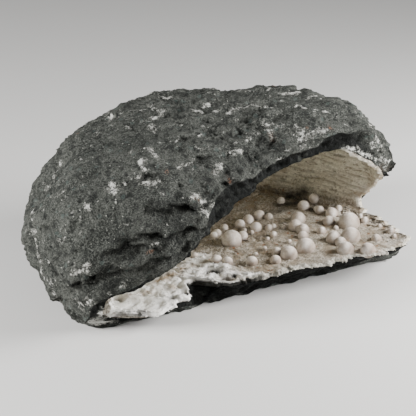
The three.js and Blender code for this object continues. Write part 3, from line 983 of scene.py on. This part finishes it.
# %% Where the crust is white, stained, hollow or painted in shade
# Strokes in the view: from x, y to x, y, width and strength. The holes are dug into the crust and
# painted near-black as shade; the cave is painted shade in the far corner of the hollow.
WHITE_MASS = [
    (112, 314, 188, 280, 26, 1.8), (136, 300, 180, 280, 20, 1.5), (190, 276, 216, 268, 12, 1.3),
    (204, 274, 258, 277, 6, 1.0), (186, 266, 200, 258, 8, 0.9),
]
HOLES = [
    (172, 301, 174, 300, 3, 0.9), (210, 272, 217, 272, 4.4, 1.5), (233, 277, 235, 276, 3, 1.1),
    (184, 295, 187, 293, 4, 1.0), (118, 300, 121, 303, 3, 0.8), (224, 279, 227, 280, 2.4, 0.9),
]
CAVE_SHADE = [
    (290, 196, 304, 193, 7, 0.95), (282, 205, 300, 203, 8, 0.85), (264, 214, 284, 209, 6, 0.6),
    (304, 206, 312, 210, 5, 0.7), (326, 198, 334, 201, 4, 0.45), (238, 222, 262, 212, 5, 0.35),
]
UMBER = [
    (260, 192, 284, 172, 6, 0.8), (158, 284, 188, 268, 7, 1.0), (144, 296, 172, 290, 6, 0.8),
    (122, 300, 134, 296, 5, 0.7), (240, 214, 260, 194, 4, 0.4), (262, 262, 300, 250, 5, 0.3),
]
print("strokes on the crust:", len(WHITE_MASS + HOLES + CAVE_SHADE + UMBER))

# %% Lining, floor and roof
LINING_RINGS = 160
FLOOR_LEVEL = 12.8
FLOOR_SLOPE = 0.061
RIPPLE_SPACING = 3.4
RIPPLE_SLOPE = 0.10
RIPPLE_MIDDLE = 40
RIPPLE_STRETCH = np.array([0.7, 0.7, 1.8])

lining_shares = np.arange(1, LINING_RINGS + 1)[::-1] / LINING_RINGS
lining = surface(HOLLOW, swing(crust_edge, lining_shares))
lining_x, lining_z = lining[..., 0], lining[..., 2]
over_floor = lining_z - FLOOR_LEVEL - FLOOR_SLOPE * lining_x + 1.5 * fractal(lining, 9, 3, 7.7)
on_floor = ramp(over_floor, 8, 2)
on_roof = ramp(over_floor, 3, 10)
to_rim = (1 - lining_shares)[:, None] * np.ones(SPOKES)
patchy = np.clip(0.75 + 0.8 * fractal(lining, 8, 3, 4.6), 0, 1)
near_rim = ramp(to_rim, 0.03, 0.0) * patchy
mass, hole_and_shade, cave, umber_stain = (strokes_in_view(lining, table)
                                 for table in (WHITE_MASS, HOLES, CAVE_SHADE, UMBER))
mass, hole_and_shade = np.clip(mass, 0, 1), np.clip(hole_and_shade, 0, 1)
level = lining_z + RIPPLE_SLOPE * (lining_x - RIPPLE_MIDDLE) + 2.4 * fractal(lining, 30, 3, 4.0)
broken_up = np.clip(0.6 + 0.9 * fractal(lining * RIPPLE_STRETCH, 7, 3, 8.1), 0.05, 1)
ripples = np.sin(2 * np.pi * level / RIPPLE_SPACING) * broken_up
print("white mass covers", int((mass > 0.5).sum()), "of", mass.size, "points")

# %% [markdown]
# The crust grows out from the wall, square to it, into the hollow. What it grows by is
# again a sum of noises: small bumps everywhere, wide swells on the floor, ripples on the
# roof, and a thick knobbly mass at the low front. The holes in that mass go back in.

# %% What the crust grows by
BUMP_HEIGHT = 0.6
ROOF_BUMP_LOSS = 0.35
RIPPLE_HEIGHT = 0.9
FLOOR_SWELLS = [(0.4, beads, 5.2, 3.0), (0.3, fractal, 9, 3, 6.0)]
MASS_KNOBS = [(1.3, beads, 7, 5.0), (0.9, beads, 2.8, 2.0)]
MASS_THICKENING = 0.4
RIM_KNOBS = [(0.8, beads, 2.2, 9.0), (0.5, fractal, 2.0, 2, 4.4)]
HOLE_DEPTH = 2.0


def inward(rows):
    """The direction square to the surface at each point, towards the hollow."""
    along = np.roll(rows, -1, axis=1) - np.roll(rows, 1, axis=1)
    square = unit(np.cross(along, np.gradient(rows, axis=0)))
    return square * np.sign(((HEART - rows) * square).sum(-1, keepdims=True))


grow = (BUMP_HEIGHT - ROOF_BUMP_LOSS * on_roof) * (beads(lining, 2.4, 1.0) - 0.4)
grow += 0.35 * fractal(lining, 1.9, 3, 2.2)
grow += on_floor * (layered(lining, FLOOR_SWELLS) - 0.2)
grow += RIPPLE_HEIGHT * on_roof * ripples
grow += mass * (layered(lining, MASS_KNOBS) + MASS_THICKENING)
grow += near_rim * floor_share * (layered(lining, RIM_KNOBS) + 0.2)
grow -= HOLE_DEPTH * hole_and_shade
lining = lining + inward(lining) * grow[..., None]
print("the crust grows by up to", grow.max().round(1), "mm")

# %% Rim and back of the crust
CRUST_BACK_RINGS = 20
RIM_RINGS = 9
OUTER_KNOBS = [(1.1, beads, 2.0, 7.0), (1.1, fractal, 2.4, 4, 1.7)]

back_shares = np.arange(1, CRUST_BACK_RINGS + 1) / CRUST_BACK_RINGS
crust_back = surface(HOLLOW, swing(crust_edge, back_shares), CRUST_THICKNESS)
rim, rim_share = strip(crust_back[-1], lining[0], RIM_RINGS)
knobs = (0.15 + 0.85 * floor_share + 0.8 * left_end) * layered(rim, OUTER_KNOBS)
rim = rim + (np.sin(np.pi * rim_share) * knobs)[..., None] * axis
rows = np.concatenate([crust_back, rim, lining])
crust_points = whole(surface(HOLLOW, back_pole, CRUST_THICKNESS), rows, surface(HOLLOW, back_pole))
print("the crust has", len(crust_points), "points")


# %% Masks over the whole crust
def over_crust(on_lining, at_rim=0, on_back=0):
    """One value for each point of the crust, from those on its lining, rim and back."""
    back = np.broadcast_to(on_back, (CRUST_BACK_RINGS, SPOKES))
    rim = np.broadcast_to(at_rim, (RIM_RINGS, SPOKES))
    return np.concatenate([[0], back.ravel(), rim.ravel(), on_lining.ravel(), [0]])


at_right_edge = 0.75 * right_end * ramp(to_rim, 0.04, 0.0)
tan_roof = 0.28 * on_roof * ramp(lining[..., 0], 45, 66)
middle_floor = ramp(lining[..., 0], 55, 35)
dusty = 0.65 + 0.25 * middle_floor + 0.5 * fractal(lining, 12, 3, 9.0)
stained = 0.7 + 0.5 * fractal(lining, 14, 3, 1.0)
lining_masks = dict(
    white=np.clip(mass * 1.2 + 0.85 * near_rim * rim_white * frosted(lining), 0, 1),
    roof=on_roof,
    dust=np.clip(on_floor * dusty - 0.8 * mass, 0, 1),
    stain=np.clip(on_floor * stained + 0.1 - 0.7 * mass, 0, 1),
    umber=np.maximum.reduce([umber_stain, at_right_edge, tan_roof]),
    # Painted shade in the holes and in the cave.
    hole_and_shade=np.clip(hole_and_shade + cave, 0, 1),
    # Painted shade in the troughs of the ripples.
    groove_shade=np.clip(-1.3 * ripples, 0, 1),
)
# At the low front the crust's rim and back take the near-black of the holes, standing for basalt.
rim_masks = dict(white=0.9 * rim_white * frosted(rim), roof=1 - 0.7 * floor_share, stain=0.3,
                 umber=0.5 * (1 - floor_share) + 0.4 * right_end,
                 hole_and_shade=low_front * ramp(rim_share, 0.9, 0.55))
back_masks = dict(hole_and_shade=low_front)
masks = {name: over_crust(mask, rim_masks.get(name, 0), back_masks.get(name, 0))
         for name, mask in lining_masks.items()}
crust_piece = build("druse_lining", crust_points, skin_faces(len(rows), SPOKES), **masks)
settle(crust_piece, "okenite", crust, "okenite_crust")

# %% [markdown]
# ## Puffballs
#
# An okenite ball is a tuft of hair-fine needles that all start at one point, so from a
# step away it looks like felt. A smooth sphere would look like a pearl. Each ball here is
# a slightly lumpy core, and a coat of thin needles stands on it and ends near the ball's
# full size, which breaks up its outline. All the cores are in one joined mesh, and all the
# needles are in another.

# %% Okenite finish
felt, tree, shader = new_material("okenite felt")
cloud, grain, height = place_group(tree, grain_group, coarse=240.0, fine=1500.0)[:3]
colour = mix_node(tree, spread_node(tree, cloud, 0.35, 0.66), (0.66, 0.575, 0.49), (0.9, 0.85, 0.79))
colour = mix_node(tree, spread_node(tree, grain, 0.3, 0.7, 0.35, 0.0), colour, (0.4, 0.33, 0.28))
# Painted shade, brownish, where each ball stands on the crust.
foot = times(tree, attribute_node(tree, "foot"), spread_node(tree, cloud, 0.3, 0.6, 0.6, 1.0))
colour = mix_node(tree, foot, colour, (0.22, 0.165, 0.122))
tree.links.new(colour, shader.inputs["Base Color"])
tree.links.new(spread_node(tree, grain, 0.3, 0.7, 0.75, 0.95), shader.inputs["Roughness"])
bump = add(tree, "Bump", {"Strength": 0.35, "Distance": 0.0003, "Height": height})
tree.links.new(bump.outputs[0], shader.inputs["Normal"])
shader.inputs["Sheen Weight"].default_value = 0.25
shader.inputs["Sheen Roughness"].default_value = 0.6
shader.inputs["Specular IOR Level"].default_value = 0.25
print("okenite nodes:", len(tree.nodes))

# %% Where the balls stand
# Bearing, rise and radius of each ball, seen from the heart.
PUFFBALLS = [
    (-26, -68, 6), (-7, -58, 3.2), (24, -48, 3.2), (24, -41, 3.4), (42, -66, 2.5), (-107, -56, 3.6),
    (-95, -52, 3.1), (-144, -65, 2.3), (-76, -44, 3.5), (22, -35, 3.5), (15, -34, 2.7),
    (5, -45, 3.5), (-1, -40, 2.3), (-15, -41, 2.2), (24, -24, 2.7), (11, -23, 3.8), (11, -19, 3.3),
    (3, -22, 3), (-1, -19, 2.4), (0, -28, 4.4), (-9, -31, 4.4), (-15, -30, 3.9), (-23, -31, 3.1),
    (-19, -26, 2.9), (-41, -30, 5.8), (-52, -34, 5), (-51, -39, 3.3), (-63, -37, 3.3),
    (-3, -21, 3.9), (-10, -23, 3.7), (-15, -20, 6.5), (-29, -24, 4.6), (-28, -21, 5.8),
    (-33, -23, 3.5), (-41, -22, 5.1), (-40, -19, 4.5), (-30, -18, 2.9), (-14, -18, 2.4),
    (-25, -16, 2.4), (170, -45, 4), (178, -36, 5), (-170, -30, 3.6), (150, -48, 4.6),
]
SMALL_PUFFBALLS = [
    (38, -56, 2.4), (46, -71, 2.3), (-1, -38, 2.1), (5, -22, 2.2), (-29, -16, 1.7), (-20, -17, 1.6),
    (-10, -18, 1.7), (-6, -35, 1.5), (-30, -36, 1.6), (-22, -45, 1.5), (10, -52, 1.6),
    (-60, -48, 1.6), (-44, -46, 1.5), (0, -50, 1.4), (-17, -23, 1.8),
]
print("puffballs:", len(PUFFBALLS), "and", len(SMALL_PUFFBALLS), "small ones")

# %% Ball helpers
def ball_grid(rings, spokes):
    """A sphere of radius 1 as a closed skin: its points and its faces."""
    polar = np.pi * np.arange(1, rings) / rings
    turn = 2 * np.pi * np.arange(spokes) / spokes
    rows = np.stack([np.sin(polar)[:, None] * np.cos(turn), np.sin(polar)[:, None] * np.sin(turn),
                     np.cos(polar)[:, None] * np.ones(spokes)], -1)
    return whole(np.array([0, 0, 1.0]), rows, np.array([0, 0, -1.0])), skin_faces(rings - 1, spokes)


def join(parts):
    """Joins (points, faces, values) parts into one set."""
    points, faces, values, start = [], [], [], 0
    for part_points, part_faces, part_values in parts:
        points.append(part_points)
        values.append(part_values)
        faces += [[start + i for i in face] for face in part_faces]
        start += len(part_points)
    return np.concatenate(points), faces, np.concatenate(values)


def stand(bearing, rise, size):
    """The centre of a ball that stands on the lining, and the way out from the heart."""
    out = direction(bearing, rise)
    return surface(HOLLOW, out, -BALL_SINK * size), out


def foot_of(points, centre, size, out):
    """1 where the ball meets the crust and 0 on its upper half: the share of painted shade at the
    ball's base.
    """
    return ramp((points - centre) @ out / size, -0.35, 0.5)


print("a ball stands with its centre", BALL_SINK, "of its radius off the lining")

# %% Puffballs
CORE_SHARE = 0.97
LARGE_BALL = 4
LARGE_BALL_RINGS = 34
SMALL_BALL_RINGS = 24
LUMP_SHARE = 0.012
FINE_LUMP_SHARE = 0.006


def puffball(bearing, rise, size, random):
    """The core of one ball: its points, its faces and how much painted shade each point gets where the
    ball stands on the crust.
    """
    centre, out = stand(bearing, rise, size)
    rings = LARGE_BALL_RINGS if size > LARGE_BALL else SMALL_BALL_RINGS
    sphere, faces = ball_grid(rings, rings * 2)
    sphere = sphere @ np.linalg.qr(random.normal(size=(3, 3)))[0]
    lumps = LUMP_SHARE * fractal(sphere * 1.4 + bearing, 1, 2)
    lumps = lumps + FINE_LUMP_SHARE * fractal(sphere * 8 + rise, 1, 2)
    core = centre + sphere * (size * (CORE_SHARE + lumps))[:, None]
    return core, faces, foot_of(core, centre, size, out)


random = np.random.default_rng(5)
points, faces, foot = join([puffball(*row, random) for row in PUFFBALLS + SMALL_PUFFBALLS])
balls = build("okenite_puffballs", points, faces, foot=foot)
settle(balls, "okenite", felt)

# %% Needles on the balls
NEEDLES_PER_MM2 = 3.2
NEEDLE_WIDTH = 0.16
NEEDLE_ROOT = 0.04
NEEDLE_REACH = 0.06
NEEDLE_JITTER = 0.04
NEEDLE_LEAN = 0.12
BURIED = 0.55
THREE_CORNERS = (0, 2.1, 4.2)
NEEDLE_FACES = ([0, 1, 3], [1, 2, 3], [2, 0, 3], [2, 1, 0])


def sphere_points(count):
    """Points spread evenly over a sphere, as seeds are in a sunflower."""
    i = np.arange(count) + 0.5
    z = 1 - 2 * i / count
    turn = np.pi * (1 + 5 ** 0.5) * i
    level = np.sqrt(1 - z * z)
    return np.stack([level * np.cos(turn), level * np.sin(turn), z], -1)


def needles(bearing, rise, size, random):
    """Thin three-sided needles all over a ball, but not where the crust hides it."""
    centre, out = stand(bearing, rise, size)
    spread = sphere_points(int(4 * np.pi * size ** 2 * NEEDLES_PER_MM2))
    spread = unit(spread + random.normal(scale=NEEDLE_JITTER, size=spread.shape))
    spread = spread[spread @ out < BURIED]
    lean = unit(spread + random.normal(scale=NEEDLE_LEAN, size=spread.shape))
    side = unit(np.cross(spread, random.normal(size=spread.shape)))
    other = np.cross(spread, side)
    base = centre + spread * size * (CORE_SHARE - NEEDLE_ROOT)
    tip = centre + spread * size * CORE_SHARE
    tip = tip + lean * size * random.uniform(0.0, NEEDLE_REACH, size=(len(spread), 1))
    corners = [base + NEEDLE_WIDTH * (np.cos(a) * side + np.sin(a) * other) for a in THREE_CORNERS]
    points = np.stack(corners + [tip], 1).reshape(-1, 3)
    start = 4 * np.arange(len(spread))[:, None]
    faces = np.concatenate([start + f for f in NEEDLE_FACES])
    return points, faces.tolist(), foot_of(points, centre, size, out)


random = np.random.default_rng(8)
points, faces, foot = join([needles(*row, random) for row in PUFFBALLS + SMALL_PUFFBALLS])
needle_coat = build("okenite_needles", points, faces, smooth=False, foot=foot)
settle(needle_coat, "okenite", felt)

# %% [markdown]
# ## Loose sugar
#
# Real druse sparkles because single crystals stand proud of it. Twenty thousand small
# crystals are set on the lining, more of them on the rim and on the white mass. They are
# plain eight-sided grains, turned at random, joined in one mesh, so that the export keeps
# them and no particle system is needed.

# %% Sugar crystals
GRAIN_COUNT = 20000
GRAIN_SIZE = (0.15, 0.45)
GRAIN_SCATTER = 0.25
GRAIN_WHITER = 0.2
RIM_SHARE = 2.4
OCTAHEDRON = np.array([[1, 0, 0], [-1, 0, 0], [0, 1, 0], [0, -1, 0], [0, 0, 1.3], [0, 0, -1.3]])
OCTAHEDRON_FACES = np.array([[0, 2, 4], [2, 1, 4], [1, 3, 4], [3, 0, 4],
                             [2, 0, 5], [1, 2, 5], [3, 1, 5], [0, 3, 5]])

random = np.random.default_rng(21)
weight = 0.35 + 1.4 * on_floor + 3.0 * near_rim * floor_share + 2.4 * mass
spacing = np.sin(np.pi * lining_shares)[:, None] + 0.15
chance = over_crust(weight * spacing, RIM_SHARE * (0.15 + floor_share))
spots = random.choice(len(chance), GRAIN_COUNT, p=chance / chance.sum())
places = crust_points[spots] + random.normal(scale=GRAIN_SCATTER, size=(GRAIN_COUNT, 3))
turns = np.linalg.qr(random.normal(size=(GRAIN_COUNT, 3, 3)))[0]
turns *= np.sign(np.linalg.det(turns))[:, None, None]
sizes = random.uniform(*GRAIN_SIZE, size=(GRAIN_COUNT, 1, 1))
grains = (places[:, None] + (OCTAHEDRON @ turns) * sizes).reshape(-1, 3)
faces = (6 * np.arange(GRAIN_COUNT)[:, None, None] + OCTAHEDRON_FACES).reshape(-1, 3).tolist()
masks["white"] = np.clip(masks["white"] + GRAIN_WHITER, 0, 1)
sugar = build("sugar_crystals", grains, faces, smooth=False,
              **{name: np.repeat(mask[spots], 6) for name, mask in masks.items()})
settle(sugar, "okenite", crust)

# %% [markdown]
# ## Floor and light
#
# The specimen stands on a plain pale floor. A soft light above and to the left shows the
# relief of the dome, and a lower one at the right reaches into the vug, where it models
# the balls from one side. A faint background light keeps the shadows open.

# %% Floor
FLOOR_HALF = 3.0

floor_mesh = bpy.data.meshes.new("floor")
corners = [(FLOOR_HALF * x, FLOOR_HALF * y, 0) for x, y in ((-1, -1), (1, -1), (1, 1), (-1, 1))]
floor_mesh.from_pydata(corners, [], [(0, 1, 2, 3)])
floor = bpy.data.objects.new("floor", floor_mesh)
bpy.context.scene.collection.objects.link(floor)
paper, tree, shader = new_material("pale paper")
cloud = add(tree, "TexNoise", {"Scale": 6.0, "Detail": 3.0}).outputs[0]
pale = mix_node(tree, cloud, (0.6, 0.59, 0.57), (0.64, 0.63, 0.61))
tree.links.new(pale, shader.inputs["Base Color"])
shader.inputs["Roughness"].default_value = 0.8
floor.data.materials.append(paper)
print("floor", 2 * FLOOR_HALF, "m wide")

# %% Light
def soft_light(name, place, target, size, power):
    """A round lamp that faces its target, as wide as its size in metres."""
    lamp = bpy.data.lights.new(name, "AREA")
    lamp.shape = "DISK"
    lamp.size = size
    lamp.energy = power
    holder = bpy.data.objects.new(name, lamp)
    holder.location = place
    holder.rotation_euler = (Vector(target) - Vector(place)).to_track_quat("-Z", "Y").to_euler()
    bpy.context.scene.collection.objects.link(holder)


soft_light("soft_above_left", place=(-0.94, 0.0, 0.46), target=HEART * MM, size=0.4, power=26)
soft_light("soft_right", place=(0.42, -0.25, 0.21), target=(0.05, 0.0, 0.04), size=0.34, power=9.3)
world = bpy.data.worlds.new("studio")
world.use_nodes = True
background = world.node_tree.nodes["Background"]
background.inputs["Color"].default_value = (0.9, 0.92, 0.95, 1)
background.inputs["Strength"].default_value = 0.17
bpy.context.scene.world = world

# %% Bring the scene up to date
bpy.context.view_layer.update()
